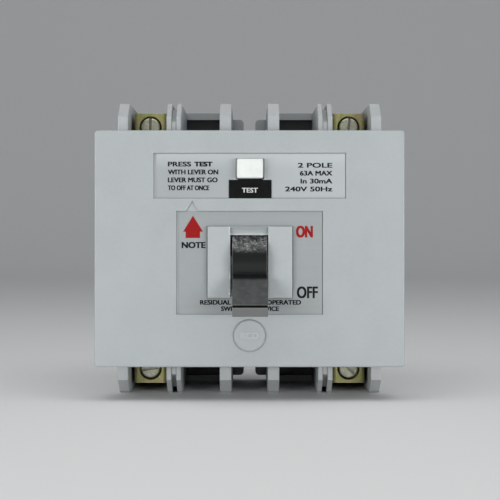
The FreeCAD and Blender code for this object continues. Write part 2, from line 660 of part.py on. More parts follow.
def toroid_core():
    ring = rod(Z_AXIS, TOROID_R, (TOROID_Z - TOROID_H / 2, TOROID_Z + TOROID_H / 2), (0, TOROID_Y))
    bore = rod(Z_AXIS, TOROID_BORE_R, (0, 40), (0, TOROID_Y))
    return cut(ring, bore)


def secondary_winding():
    """Turns of the secondary, spread round the core as separate closed loops."""
    gap = 0.1
    wire = 0.8
    inner = (TOROID_BORE_R - gap, TOROID_R + gap)
    outer = (inner[0] - wire, inner[1] + wire)
    half = TOROID_H / 2 + gap
    loops = []
    count = 24
    for index in range(count):
        loop = box(outer, (-wire / 2, wire / 2), (-half - wire, half + wire))
        loop = cut(loop, box(inner, (-1, 1), (-half, half)))
        loop.rotate(V(0, 0, 0), Z_AXIS, index * 360 / count)
        loop.translate(V(0, TOROID_Y, TOROID_Z))
        loops.append(loop)
    return group(loops)


def arc_chute_cheeks():
    """Fibre cheeks that hold the arc plates, a pair for each pole."""
    inside = BASE_HALF_W - BASE_WALL
    walls = [(27.4, 28.5), (inside - 1.2, inside - 0.05)]
    return group(box(signed(x_sign, wall), (-38.0, -22.5), (-27.9, -17.0))
                 for wall in walls for x_sign in SIDES.values())


def arc_plates():
    """Notched steel plates, stacked from front to back below each pole's contacts."""
    inside = BASE_HALF_W - BASE_WALL
    plates = []
    count = 6
    for x_sign in SIDES.values():
        middle = x_sign * (TERMINAL_X + 0.3)
        for index in range(count):
            y = -37.4 + index * 2.7
            plate = box(signed(x_sign, (28.5, inside - 1.2)), (y, y + 1.0), (-27.9, -17.0))
            corners = [(middle - 2.5, -16.9), (middle + 2.5, -16.9), (middle, -22.5)]
            notch = prism_y(corners, (y - 0.1, y + 1.1))
            plates.append(cut(plate, notch))
    return group(plates)


# ---------------------------------------------------------------- trip relay and test circuit
def trip_relay():
    case = box((15.0, 27.0), (-43.0, -24.0), (15.0, 27.9))
    return cut(case, rod(Z_AXIS, 1.25, (14.9, 22.0), (21.0, TRIP_Y + 6.0)))


def relay_plunger():
    centre = (21.0, TRIP_Y + 6.0)
    return rod(Z_AXIS, 1.2, (TRIP_Z - 0.1, 20.0), centre)


def secondary_leads():
    """Two fine leads from the winding to the relay."""
    leads = []
    for z in (18.0, 20.4):
        points = [(10.0, -27.6, z), (12.6, -29.6, z), (14.9, -29.6, z)]
        leads.append(wire_path(points, 0.35, 0.8))
    return group(leads)


def test_button():
    """Cap, retaining flange and stem; it slides straight back."""
    centre = (BUTTON_X, BUTTON_Z)
    flange_y = -DEPTH + COVER_FRONT_T + 0.1
    front = -DEPTH - BUTTON_PROUD
    half_w, half_h = BUTTON_W / 2, BUTTON_H / 2
    cap = box((BUTTON_X - half_w, BUTTON_X + half_w), (front, flange_y),
              (BUTTON_Z - half_h, BUTTON_Z + half_h))
    cap = rounded(cap, 0.5, lambda edge: along(edge, Y_AXIS))
    cap = cap.makeChamfer(0.35, [edge for edge in cap.Edges if flat(edge, front)])
    flange = box((BUTTON_X - 5.2, BUTTON_X + 5.2), (flange_y, flange_y + 1.2),
                 (BUTTON_Z - 3.9, BUTTON_Z + 3.9))
    stem = rod(Y_AXIS, STEM_R, (flange_y, -46.5), centre)
    return fuse(cap, flange, stem)


def test_button_spring():
    rear = -BASE_FRONT - 2.2 - 0.3
    return coil_y(2.5, 0.25, (-61.0, rear), (BUTTON_X, BUTTON_Z), 6)


def test_contact_strip():
    """Brass leaf behind the mechanism cover that the stem pushes back."""
    leaf = box((-7.5, 5.0), (-44.3, -43.9), (BUTTON_Z - 2.0, BUTTON_Z + 2.0))
    foot = box((-7.5, -5.0), (-44.5, -43.9), (BUTTON_Z - 2.0, BUTTON_Z + 2.0))
    return fuse(leaf, foot)


def test_resistor():
    body = rod(X_AXIS, 2.1, (-27.0, -17.0), (-41.5, 21.0))
    leads = rod(X_AXIS, 0.4, (-30.0, -14.0), (-41.5, 21.0))
    return fuse(body, leads)


# ---------------------------------------------------------------- terminals
def terminal_cage(x_sign, end):
    """Folded steel cage with a dished, threaded front plate."""
    half = CAGE_W / 2
    x = (x_sign * TERMINAL_X - half, x_sign * TERMINAL_X + half)
    z = signed(end, CAGE_Z)
    outer = box(x, (-CAGE_FRONT, -CAGE_REAR), z)
    outer = rounded(outer, 1.2, lambda edge: along(edge, Z_AXIS))
    hollow = box((x[0] + CAGE_T, x[1] - CAGE_T), (-CAGE_FRONT + CAGE_T, -CAGE_REAR - CAGE_T), z)
    centre = (x_sign * TERMINAL_X, end * TERMINAL_Z)
    thread = SCREW_R + RUNNING
    collar = rod(Y_AXIS, thread + 0.55, (-CAGE_FRONT + CAGE_T - 0.1, -CAGE_FRONT + 4.5), centre)
    dish = cone_y(DISH_R, thread, (-CAGE_FRONT, -CAGE_FRONT + 1.0), centre)
    bore = rod(Y_AXIS, thread, (-CAGE_FRONT - 1, -CAGE_FRONT + 5), centre)
    return cut(fuse(cut(outer, hollow), collar), dish, bore)


def terminal_screw(x_sign, end, slot_angle):
    """Slotted clamp screw; its reduced tip holds the pressure plate."""
    centre = (x_sign * TERMINAL_X, end * TERMINAL_Z)
    front = -CAGE_FRONT - 0.4
    body = rod(Y_AXIS, SCREW_R, (front, -24.6), centre)
    body = body.makeChamfer(0.35, [edge for edge in body.Edges if flat(edge, front)])
    tip = rod(Y_AXIS, 1.6, (-24.6, -23.3), centre)
    slot = box((-SCREW_R, SCREW_R), (front, front + 1.5), (-0.45, 0.45))
    slot.rotate(V(0, 0, 0), Y_AXIS, -slot_angle)
    slot.translate(V(centre[0], 0, centre[1]))
    return cut(fuse(body, tip), slot)


def pressure_plate(x_sign, end):
    x = x_sign * TERMINAL_X
    z = signed(end, (CAGE_Z[0] + 1.5, CAGE_Z[1] - 1.0))
    plate = box((x - 3.3, x + 3.3), (-24.5, -21.7), z)
    return cut(plate, rod(Y_AXIS, 1.65, (-24.6, -23.25), (x, end * TERMINAL_Z)))


# ---------------------------------------------------------------- write every node
def all_nodes():
    nodes = {
        "base_housing": base_housing(),
        "pocket_liners": pocket_liners(),
        "mechanism_cover": mechanism_cover(),
        "mechanism_cover_screws": mechanism_cover_screws(),
        "front_cover": front_cover(),
        "upper_label": upper_label(),
        "lower_label": lower_label(),
        "test_legend_plate": test_legend_plate(),
        "cover_screw": cover_screw(),
        "cover_screw_cap": cover_screw_cap(),
        "lever_bezel": lever_bezel(),
        "switch_lever": switch_lever(),
        "lever_pivot_pin": lever_pivot_pin(),
        "lever_return_spring": lever_return_spring(),
        "toggle_link": toggle_link(),
        "frame_spacers": frame_spacers(),
        "frame_screws": frame_screws(),
        "trip_lever": trip_lever(),
        "carrier_shaft": carrier_shaft(),
        "drive_arm": drive_arm(),
        "contact_tips": contact_tips(),
        "contact_springs": contact_springs(),
        "fixed_contacts": fixed_contacts(),
        "arc_chute_cheeks": arc_chute_cheeks(),
        "arc_plates": arc_plates(),
        "toroid_core": toroid_core(),
        "secondary_winding": secondary_winding(),
        "secondary_leads": secondary_leads(),
        "trip_relay": trip_relay(),
        "relay_plunger": relay_plunger(),
        "test_button": test_button(),
        "test_button_spring": test_button_spring(),
        "test_contact_strip": test_contact_strip(),
        "test_resistor": test_resistor(),
    }
    sided = {
        "frame_plate": side_plate,
        "contact_carrier": contact_carrier,
        "contact_arm": contact_arm,
        "supply_busbar": supply_busbar,
        "load_tail": load_tail,
        "primary_conductor": primary_conductor,
    }
    for name, make in sided.items():
        for side, x_sign in SIDES.items():
            nodes[name + "_" + side] = make(x_sign)
    for end_name, end in ENDS.items():
        for side, x_sign in SIDES.items():
            place = end_name + "_" + side
            nodes["terminal_cage_" + place] = terminal_cage(x_sign, end)
            nodes["terminal_screw_" + place] = terminal_screw(x_sign, end, SCREW_SLOT_ANGLES[place])
            nodes["pressure_plate_" + place] = pressure_plate(x_sign, end)
    return nodes


os.makedirs("parts", exist_ok=True)
for node_name, node_shape in all_nodes().items():
    node_shape.exportStep("parts/" + node_name + ".step")
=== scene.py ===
import json
import math

import bmesh
import bpy
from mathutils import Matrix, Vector


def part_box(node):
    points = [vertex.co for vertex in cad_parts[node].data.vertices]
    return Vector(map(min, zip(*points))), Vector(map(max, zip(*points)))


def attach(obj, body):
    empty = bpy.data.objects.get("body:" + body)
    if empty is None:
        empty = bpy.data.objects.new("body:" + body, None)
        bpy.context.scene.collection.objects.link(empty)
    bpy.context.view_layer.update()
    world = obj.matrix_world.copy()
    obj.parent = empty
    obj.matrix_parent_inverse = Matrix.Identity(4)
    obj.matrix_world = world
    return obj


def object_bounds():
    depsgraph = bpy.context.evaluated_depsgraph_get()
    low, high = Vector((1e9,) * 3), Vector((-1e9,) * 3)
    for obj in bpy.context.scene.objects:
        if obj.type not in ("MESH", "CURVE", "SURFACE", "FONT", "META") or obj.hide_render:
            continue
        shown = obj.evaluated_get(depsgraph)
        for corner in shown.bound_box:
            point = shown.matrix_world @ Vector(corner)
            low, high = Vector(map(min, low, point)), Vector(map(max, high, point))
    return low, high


# Looks for a two-pole residual current device: finishes, printed legends, light and camera.
# Everything is in metres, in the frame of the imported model: +Z up, front facing -Y.
# Legends are laid out in millimetres, and scaled as their meshes are made.

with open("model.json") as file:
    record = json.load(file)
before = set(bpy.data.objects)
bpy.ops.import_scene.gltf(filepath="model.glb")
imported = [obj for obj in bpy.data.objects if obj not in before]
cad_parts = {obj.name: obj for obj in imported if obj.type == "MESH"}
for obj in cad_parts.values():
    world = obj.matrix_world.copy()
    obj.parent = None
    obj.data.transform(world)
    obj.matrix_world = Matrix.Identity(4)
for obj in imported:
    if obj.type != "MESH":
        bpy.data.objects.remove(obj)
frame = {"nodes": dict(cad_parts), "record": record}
cad_low, cad_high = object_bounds()
NODES = frame["nodes"]
MM = 0.001
scene = bpy.context.scene

# ---------------------------------------------------------------- driving values
BASE_GREY = (0.385, 0.402, 0.407)
COVER_GREY = (0.340, 0.366, 0.371)
GRAIN_SIZE, GRAIN_DEPTH = 0.22 * MM, 0.012 * MM     # fine surface grain of the mouldings

# Where each zone of a finish sets in, and where it is complete.
LABEL_SPLIT_Z = (11 * MM, 14 * MM)                  # from the lower label to the upper one
LABEL_SHEEN_X = (-24 * MM, 24 * MM)                  # painted sheen: the upper label is paler to the right
LABEL_SHEEN_Z = (23 * MM, 28.4 * MM)                 # and painted sheen along its top
DRUM_WEAR_AND_SHEEN_Z = (-1.6 * MM, 0.6 * MM)                 # rubbed patch across the top of the drum, also painted pale as its highlight band
HANDLE_WEAR_Y = (-69.2 * MM, -70.6 * MM)            # finger wear, towards the handle's tip
HANDLE_STEP_Z = (-16.25 * MM, -16.0 * MM)           # that wear stops at the step near the tip
TIP_HIGHLIGHT_Z = (-16.75 * MM, -16.95 * MM)                  # painted highlight on the handle's end face, below the step
CHIPS_RIGHT_X = (-5.45 * MM, -5.6 * MM)             # chips along the left wall of the lever's
CHIPS_LEFT_X = (-6.3 * MM, -5.9 * MM)               # slot, between these two

PRINT_T = 0.02 * MM                                 # thickness of printed ink
CAP_MARK_T = 0.14 * MM                              # height of the raised mark on the cap
CURVE_STEPS = 4                                     # segments in each curve of a letter
LAYER_STEP = 0.02                                   # a copy's rise, as a share of its thickness
WEIGHT_SHIFTS = ((-1, -0.5), (-1, 0.5), (0, 0), (1, -0.5), (1, 0.5))

LINE_HEIGHT, LINE_PITCH = 1.46, 2.36                # lines of print on the upper label
LEFT_BLOCK_X, LEFT_BLOCK_TOP = -24.34, 25.95
RIGHT_BLOCK_X, RIGHT_BLOCK_TOP = 24.7, 25.6
FINE_WEIGHT = 0.09                                  # stroke weight of small print

TENT_COLOUR = (0.93, 0.97, 1.0)
TENT, TENT_FRONT = 0.50, 0.26                       # brightness of the tent, and behind the camera
TENT_FRONT_Y = (-0.72, -0.88)                       # direction in which it falls to the second
TENT_LOW, TENT_HIGH = 1.25, 0.55                    # factors at the horizon and overhead
TENT_HEIGHT_Z = (0.0, 0.9)                          # from the horizon to nearly overhead
TOP_POWER, LOW_POWER = 2.6, 1.3                     # of the softbox and of each low fill

FLOOR_HALF_WIDTH, FLOOR_NEAR, WALL_TOP = 4, -3.0, 4.0
BEND_START, BEND_RADIUS, BEND_STEPS = 1.2, 0.8, 16  # where the floor curves up into the wall

CAMERA_DISTANCE = 400 * MM                          # from the front of the cover
CAMERA_Z = 2.89 * MM
VIEW_WIDTH = 148.95 * MM                            # spanned by the picture at that distance
SENSOR_WIDTH = 36


# ---------------------------------------------------------------- materials
class Finish:
    """A procedural material under construction, in the object's own coordinates."""

    def __init__(self, name, colour, roughness, **sockets):
        self.material = bpy.data.materials.new(name)
        self.material.use_nodes = True
        self.tree = self.material.node_tree
        self.shader = self.tree.nodes["Principled BSDF"]
        self.place = self.tree.nodes.new("ShaderNodeTexCoord").outputs["Object"]
        self.shader.inputs["Base Color"].default_value = (*colour, 1)
        self.shader.inputs["Roughness"].default_value = roughness
        for socket, value in sockets.items():
            self.shader.inputs[socket.replace("_", " ")].default_value = value

    def add(self, kind, links=None, **settings):
        node = self.tree.nodes.new("ShaderNode" + kind)
        for key, value in settings.items():
            setattr(node, key, value)
        for socket, value in (links or {}).items():
            self.feed(node.inputs[socket], value)
        return node

    def feed(self, socket, value):
        if isinstance(value, bpy.types.NodeSocket):
            self.tree.links.new(value, socket)
        else:
            socket.default_value = value

    def noise(self, size, detail=4.0, roughness=0.55, distortion=0.0, stretch=(1, 1, 1)):
        """Noise whose blotches are about size metres across."""
        vector = self.add("Mapping", {"Vector": self.place, "Scale": stretch}).outputs["Vector"]
        links = {"Vector": vector, "Scale": 1 / size, "Detail": detail, "Roughness": roughness,
                 "Distortion": distortion}
        return self.add("TexNoise", links).outputs["Fac"]

    def ramp(self, value, *stops):
        """Maps a value to colours or greys at (position, colour) stops."""
        node = self.add("ValToRGB", {"Fac": value})
        elements = node.color_ramp.elements
        while len(elements) < len(stops):
            elements.new(0.5)
        for element, (position, colour) in zip(elements, stops):
            if not isinstance(colour, tuple):
                colour = (colour, colour, colour)
            element.position = position
            element.color = (*colour, 1)
        return node.outputs["Color"]

    def mix(self, factor, first, second):
        node = self.add("Mix", data_type="RGBA")
        self.feed(node.inputs[0], factor)
        for index, value in ((6, first), (7, second)):
            self.feed(node.inputs[index], (*value, 1) if isinstance(value, tuple) else value)
        return node.outputs[2]

    def calc(self, operation, first, second):
        node = self.add("Math", operation=operation)
        self.feed(node.inputs[0], first)
        self.feed(node.inputs[1], second)
        return node.outputs[0]

    def times(self, first, second):
        return self.calc("MULTIPLY", first, second)

    def shelter(self, reach, low, high, inside):
        """White where rays of a short reach are blocked, in front of or behind the surface."""
        node = self.add("AmbientOcclusion", {"Distance": reach}, inside=inside, only_local=inside,
                        samples=6)
        return self.ramp(node.outputs["AO"], (low, 1.0), (high, 0.0))

    def edges(self, reach=0.3 * MM):
        """White along convex edges."""
        return self.shelter(reach, 0.55, 0.85, True)

    def corners(self, reach=0.8 * MM):
        """White in the corners where short rays are blocked; darkening by it paints shade there,
        along with dirt.
        """
        return self.shelter(reach, 0.35, 0.85, False)

    def across(self, axis, zone):
        """Rises from 0 to 1 between the two coordinates of a zone along an axis."""
        place = self.add("SeparateXYZ", {"Vector": self.place}).outputs[axis]
        links = {"Value": place, "From Min": zone[0], "From Max": zone[1]}
        return self.add("MapRange", links, interpolation_type="SMOOTHSTEP").outputs["Result"]

    def colour(self, value):
        self.feed(self.shader.inputs["Base Color"], value)

    def rough(self, noise, low, high):
        """Roughness that drifts between two values."""
        self.feed(self.shader.inputs["Roughness"], self.ramp(noise, (0.3, low), (0.7, high)))

    def bump(self, height, distance, strength=1.0):
        links = {"Height": height, "Distance": distance, "Strength": strength}
        self.feed(self.shader.inputs["Normal"], self.add("Bump", links).outputs["Normal"])


def scaled(colour, factor):
    return tuple(channel * factor for channel in colour)


def moulded_plastic(name, colour, roughness=0.42, soil=0.16, rub=0.5, dirt_and_shade=0.45):
    """Moulded thermoset: faint flow mottling, handling dirt, painted shade in corners, rubbed edges
    painted pale as highlights too, fine grain.
    """
    finish = Finish(name, colour, roughness)
    flow = finish.noise(14 * MM, 3)
    cloud = finish.ramp(flow, (0.3, scaled(colour, 0.95)), (0.7, scaled(colour, 1.04)))
    fine = finish.noise(0.9 * MM, 6, 0.65)
    speck = finish.ramp(fine, (0.3, scaled(colour, 0.93)), (0.62, scaled(colour, 1.02)))
    base = finish.mix(0.4, cloud, speck)
    smear = finish.ramp(finish.noise(9 * MM, 5, 0.6, 0.8, (1, 1, 0.4)), (0.52, 0.0), (0.78, 1.0))
    base = finish.mix(finish.times(smear, soil), base, scaled(colour, 0.72))
    # painted shade: corners and joins darkened where short rays are blocked, together with dirt
    base = finish.mix(finish.times(finish.corners(), dirt_and_shade), base, scaled(colour, 0.3))
    uneven = finish.ramp(finish.noise(1.3 * MM, 4), (0.35, 0.4), (0.65, 1.0))
    # rubbed edges, painted paler as edge highlights too; rub sets how strong both are
    edge_wear_and_highlight = finish.times(finish.times(finish.edges(), uneven), rub)
    finish.colour(finish.mix(edge_wear_and_highlight, base, scaled(colour, 1.55)))
    finish.rough(finish.noise(4 * MM, 4), roughness - 0.06, roughness + 0.1)
    finish.bump(finish.noise(GRAIN_SIZE, 3), GRAIN_DEPTH)
    return finish.material


def foil_label():
    """Silver-grey printed foil with painted sheen, paler to the right and along its top; painted
    shade in its corners; lightly rubbed.
    """
    colour = (0.285, 0.304, 0.308)
    finish = Finish("label_foil", colour, 0.4, Metallic=0.12)
    lines = finish.noise(0.5 * MM, 3, 0.5, 0.0, (0.04, 1, 1))
    base = finish.ramp(lines, (0.3, scaled(colour, 0.985)), (0.7, scaled(colour, 1.015)))
    rub = finish.ramp(finish.noise(6 * MM, 5, 0.6), (0.5, 0.0), (0.75, 0.25))
    base = finish.mix(rub, base, scaled(colour, 1.12))
    upper = finish.across("Z", LABEL_SPLIT_Z)
    base = finish.mix(finish.times(upper, 0.8), base, scaled(colour, 1.16))
    # painted sheen: the upper label is lightened to the right and along its top
    right = finish.times(finish.times(finish.across("X", LABEL_SHEEN_X), upper), 0.75)
    base = finish.mix(right, base, scaled(colour, 1.42))
    top = finish.times(finish.across("Z", LABEL_SHEEN_Z), 0.6)
    base = finish.mix(top, base, scaled(colour, 1.65))
    # painted shade, with dirt, along the label's edges against the recess walls
    dirt_and_shade = finish.times(finish.corners(0.5 * MM), 0.6)
    finish.colour(finish.mix(dirt_and_shade, base, scaled(colour, 0.2)))
    finish.rough(finish.noise(2.5 * MM, 4), 0.36, 0.5)
    finish.bump(lines, 0.002 * MM)
    return finish.material


def ink(name, colour, gloss=0.12):
    """Printed ink, with tiny pinholes and uneven density."""
    finish = Finish(name, colour, 0.6, Specular_IOR_Level=gloss)
    density = finish.noise(0.35 * MM, 4, 0.7)
    dense = tuple(channel + 0.008 for channel in colour)
    finish.colour(finish.ramp(density, (0.25, scaled(colour, 0.8)), (0.75, dense)))
    finish.bump(density, 0.003 * MM)
    return finish.material


def worn_black():
    """Black toggle moulding: glossy, scratched drum with a painted highlight band across its top;
    handle greyed by fingers, with painted highlights on its end face and edges.
    """
    colour = (0.007, 0.008, 0.008)
    finish = Finish("lever_plastic", colour, 0.3, Specular_IOR_Level=0.4)
    scuff = finish.ramp(finish.noise(1.3 * MM, 7, 0.72, 0.6), (0.44, 0.0), (0.66, 1.0))
    fine = finish.ramp(finish.noise(0.35 * MM, 5, 0.75), (0.42, 0.1), (0.6, 1.0))
    # painted highlight: pale scuffs across the top of the drum stand for its highlight band as well
    # as wear
    drum_top = finish.times(finish.across("Z", DRUM_WEAR_AND_SHEEN_Z), 0.95)
    drum = finish.times(finish.times(scuff, fine), drum_top)
    patchy = finish.ramp(finish.noise(2.2 * MM, 6, 0.65, 0.4), (0.35, 0.45), (0.7, 0.95))
    handle = finish.times(finish.times(finish.across("Y", HANDLE_WEAR_Y), patchy),
                          finish.across("Z", HANDLE_STEP_Z))
    # painted highlight: the handle's end face is paled where it faces the front light
    tip_highlight = finish.times(finish.across("Z", TIP_HIGHLIGHT_Z), 0.85)
    base = finish.mix(drum, colour, (0.40, 0.405, 0.405))
    base = finish.mix(handle, base, (0.070, 0.073, 0.074))
    base = finish.mix(tip_highlight, base, (0.17, 0.175, 0.175))
    # edges painted paler, as edge highlights and as wear
    edge_wear_and_highlight = finish.times(finish.edges(0.25 * MM), 0.6)
    finish.colour(finish.mix(edge_wear_and_highlight, base, (0.24, 0.24, 0.24)))
    wear = finish.calc("MINIMUM", finish.calc("ADD", handle, drum), 1.0)
    finish.feed(finish.shader.inputs["Roughness"], finish.calc("ADD", finish.times(wear, 0.2), 0.24))
    finish.bump(finish.noise(0.25 * MM, 5, 0.6), 0.03 * MM, 0.7)
    return finish.material


def chipped_surround():
    """The lever's surround: cover plastic, with pale chips where the drum rubs the slot's wall,
    painted shade in its corners and painted highlights on its edges.
    """
    colour = scaled(COVER_GREY, 1.06)
    finish = Finish("surround_plastic", colour, 0.4)
    fine = finish.noise(0.9 * MM, 6, 0.65)
    base = finish.ramp(fine, (0.3, scaled(colour, 0.97)), (0.7, scaled(colour, 1.03)))
    # painted shade, with dirt, in the corners and joins
    base = finish.mix(finish.times(finish.corners(), 0.45), base, scaled(colour, 0.3))
    wall = finish.times(finish.across("X", CHIPS_RIGHT_X), finish.across("X", CHIPS_LEFT_X))
    chips = finish.ramp(finish.noise(1.7 * MM, 5, 0.7), (0.56, 0.0), (0.61, 1.0))
    base = finish.mix(finish.times(wall, chips), base, (0.85, 0.87, 0.86))
    # edges painted paler, as highlights and as wear
    finish.colour(finish.mix(finish.times(finish.edges(), 0.5), base, scaled(colour, 1.5)))
    finish.rough(finish.noise(4 * MM, 4), 0.34, 0.5)
    finish.bump(finish.noise(GRAIN_SIZE, 3), GRAIN_DEPTH)
    return finish.material


def white_button():
    """Off-white moulding, faintly clouded, with a satin gloss."""
    colour = (0.70, 0.725, 0.70)
    finish = Finish("button_plastic", colour, 0.3)
    cloud = finish.noise(3 * MM, 4)
    finish.colour(finish.ramp(cloud, (0.3, scaled(colour, 0.95)), (0.7, scaled(colour, 1.02))))
    finish.rough(finish.noise(1.2 * MM, 4), 0.25, 0.4)
    finish.bump(finish.noise(0.3 * MM, 3), 0.006 * MM)
    return finish.material


def passivated(name, tones, roughness=0.36):
    """Yellow-passivated zinc: drifting green, straw and rust-pink tints on dull metal."""
    finish = Finish(name, tones[0], roughness, Metallic=0.85)
    drift = finish.noise(3.2 * MM, 5, 0.6, 1.5)
    tint = finish.ramp(drift, *[(0.3 + 0.13 * i, tone) for i, tone in enumerate(tones)])
    dull = finish.ramp(finish.noise(0.6 * MM, 6, 0.7), (0.4, 0.0), (0.7, 0.5))
    base = finish.mix(dull, tint, scaled(tones[0], 0.55))
    base = finish.mix(finish.times(finish.corners(), 0.6), base, scaled(tones[0], 0.15))
    # edges painted pale, partly as highlight and partly as worn-off coating
    finish.colour(finish.mix(finish.times(finish.edges(), 0.6), base, (0.75, 0.74, 0.62)))
    finish.rough(finish.noise(0.8 * MM, 5), roughness - 0.08, roughness + 0.16)
    finish.bump(finish.noise(0.3 * MM, 4), 0.01 * MM)
    return finish.material


def plain_metal(name, colour, roughness):
    """Drawn or cut metal, with fine tool lines and dulled patches."""
    finish = Finish(name, colour, roughness, Metallic=1.0)
    lines = finish.noise(0.5 * MM, 4, 0.6, 0.0, (0.1, 1, 1))
    dull = finish.ramp(lines, (0.3, scaled(colour, 0.75)), (0.7, scaled(colour, 1.05)))
    finish.colour(finish.mix(0.5, dull, colour))
    finish.rough(finish.noise(2 * MM, 4), roughness - 0.08, roughness + 0.12)
    finish.bump(lines, 0.006 * MM)
    return finish.material


MATERIALS = {
    "surround_plastic": chipped_surround(),
    "base_plastic": moulded_plastic("base_plastic", BASE_GREY, 0.45),
    "cover_plastic": moulded_plastic("cover_plastic", COVER_GREY, 0.42, 0.1),
    "dark_insulator": moulded_plastic("dark_insulator", (0.018, 0.020, 0.020), 0.6),
    "label_foil": foil_label(),
    "black_legend": ink("black_legend", (0.005, 0.0055, 0.0055), 0.03),
    "lever_plastic": worn_black(),
    "button_plastic": white_button(),
    "carrier_plastic": moulded_plastic("carrier_plastic", (0.045, 0.035, 0.03), 0.5),
    "arc_fibre": moulded_plastic("arc_fibre", (0.30, 0.075, 0.04), 0.6),
    "plain_steel": plain_metal("plain_steel", (0.52, 0.52, 0.50), 0.38),
    "spring_steel": plain_metal("spring_steel", (0.42, 0.42, 0.42), 0.35),
    "copper": plain_metal("copper", (0.68, 0.34, 0.20), 0.36),
    "silver": plain_metal("silver", (0.78, 0.77, 0.73), 0.3),
    "core_material": moulded_plastic("core_material", (0.05, 0.05, 0.055), 0.55),
    "wire_insulation": moulded_plastic("wire_insulation", (0.03, 0.03, 0.034), 0.4),
    "brass_leaf": plain_metal("brass_leaf", (0.68, 0.52, 0.22), 0.32),
    "resistor_body": moulded_plastic("resistor_body", (0.28, 0.20, 0.12), 0.4),
    "passivated_steel": passivated(
        "passivated_steel",
        [(0.30, 0.31, 0.16), (0.40, 0.44, 0.14), (0.52, 0.44, 0.22), (0.45, 0.30, 0.22)]),
    "clamp_screw_steel": passivated(
        "clamp_screw_steel", [(0.46, 0.48, 0.38), (0.52, 0.52, 0.38), (0.60, 0.58, 0.48)], 0.34),
    # cap plastic with its rim painted strongly pale as a highlight on the chamfer, and no corner
    # darkening
    "cap_plastic_lit_rim": moulded_plastic("cap_plastic_lit_rim", COVER_GREY, 0.4, 0.1, rub=0.9, dirt_and_shade=0.0),
    # painted highlight: the raised mark is a paler copy of the cap's plastic
    "lit_mark_plastic": moulded_plastic(
        "lit_mark_plastic", scaled(COVER_GREY, 1.22), 0.4, 0.1, rub=0.0, dirt_and_shade=0.2),
    # painted shade: a dark liner in the empty pockets stands for the deep shadow inside them
    "pocket_shade_liner": moulded_plastic("pocket_shade_liner", (0.085, 0.088, 0.088), 0.45, dirt_and_shade=0.2),
    "ink_black": ink("ink_black", (0.004, 0.004, 0.005)),
    "ink_red": ink("ink_red", (0.28, 0.004, 0.004)),
    "ink_white": ink("ink_white", (0.62, 0.62, 0.60)),
}

# Nodes whose finish is a variant of their slot's.
OWN_FINISH = {"lever_bezel": "surround_plastic", "cover_screw_cap": "cap_plastic_lit_rim",
              "pocket_liners": "pocket_shade_liner"}


def finish_cad_nodes():
    """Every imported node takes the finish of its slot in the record, or a variant of it."""
    for row in frame["record"]["subparts"]:
        mesh = NODES[row["node"]].data
        mesh.materials.clear()
        mesh.materials.append(MATERIALS[OWN_FINISH.get(row["node"], row["material_slot"])])


# ---------------------------------------------------------------- pieces
def piece(name, mesh, material):
    item = bpy.data.objects.new(name, mesh)
    scene.collection.objects.link(item)
    mesh.materials.clear()
    mesh.materials.append(MATERIALS[material])
    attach(item, "root")


def lettering(name, words):
    """The words as a thin solid mesh, of no particular size."""
    curve = bpy.data.curves.new(name, "FONT")
    curve.body = words
    curve.extrude = 0.01
    curve.resolution_u = CURVE_STEPS
    source = bpy.data.objects.new(name + "_source", curve)
    scene.collection.objects.link(source)
    bpy.context.view_layer.update()
    shaped = source.evaluated_get(bpy.context.evaluated_depsgraph_get())
    mesh = bpy.data.meshes.new_from_object(shaped)
    bpy.data.objects.remove(source)
    return mesh


def fit(mesh, span_x, span_z, y, weight, thickness):
    """Stretches lettering to a box of millimetres on a face at depth y."""
    points = [vertex.co for vertex in mesh.vertices]
    low = Vector(min(p[i] for p in points) for i in range(3))
    high = Vector(max(p[i] for p in points) for i in range(3))
    width = span_x[1] - span_x[0] - 2 * weight
    height = span_z[1] - span_z[0] - weight
    for vertex in mesh.vertices:
        along, up, out = ((vertex.co[i] - low[i]) / (high[i] - low[i]) for i in range(3))
        vertex.co = Vector(((span_x[0] + weight + along * width) * MM, y - out * thickness,
                            (span_z[0] + weight / 2 + up * height) * MM))


def embolden(mesh, weight, thickness):
    """Repeats lettering, moved by its weight in millimetres each way, so that strokes thicken."""
    work = bmesh.new()
    for index, (right, rise) in enumerate(WEIGHT_SHIFTS):
        first = len(work.verts)
        work.from_mesh(mesh)
        work.verts.ensure_lookup_table()
        shift = (right * weight * MM, -LAYER_STEP * index * thickness, rise * weight * MM)
        bmesh.ops.translate(work, verts=work.verts[first:], vec=shift)
    work.to_mesh(mesh)
    work.free()


def legend(name, words, span_x, span_z, y, material, weight, thickness=PRINT_T):
    """Printed words that fill a box of millimetres on a face at depth y."""
    mesh = lettering(name, words)
    fit(mesh, span_x, span_z, y, weight, thickness)
    embolden(mesh, weight, thickness)
    piece(name, mesh, material)


def flat_print(name, outline, y, material):
    """A printed shape from an XZ outline in millimetres."""
    mesh = bpy.data.meshes.new(name)
    work = bmesh.new()
    corners = [work.verts.new((x * MM, y, z * MM)) for x, z in outline]
    face = work.faces.new(corners)
    pulled = bmesh.ops.extrude_face_region(work, geom=[face])
    moved = [item for item in pulled["geom"] if isinstance(item, bmesh.types.BMVert)]
    bmesh.ops.translate(work, verts=moved, vec=(0, -PRINT_T, 0))
    bmesh.ops.recalc_face_normals(work, faces=work.faces)
    work.to_mesh(mesh)
    work.free()
    piece(name, mesh, material)


def line_span(block_top, row):
    """Lowest and highest Z of a line of print, in millimetres."""
    high = block_top - row * LINE_PITCH
    return high - LINE_HEIGHT, high


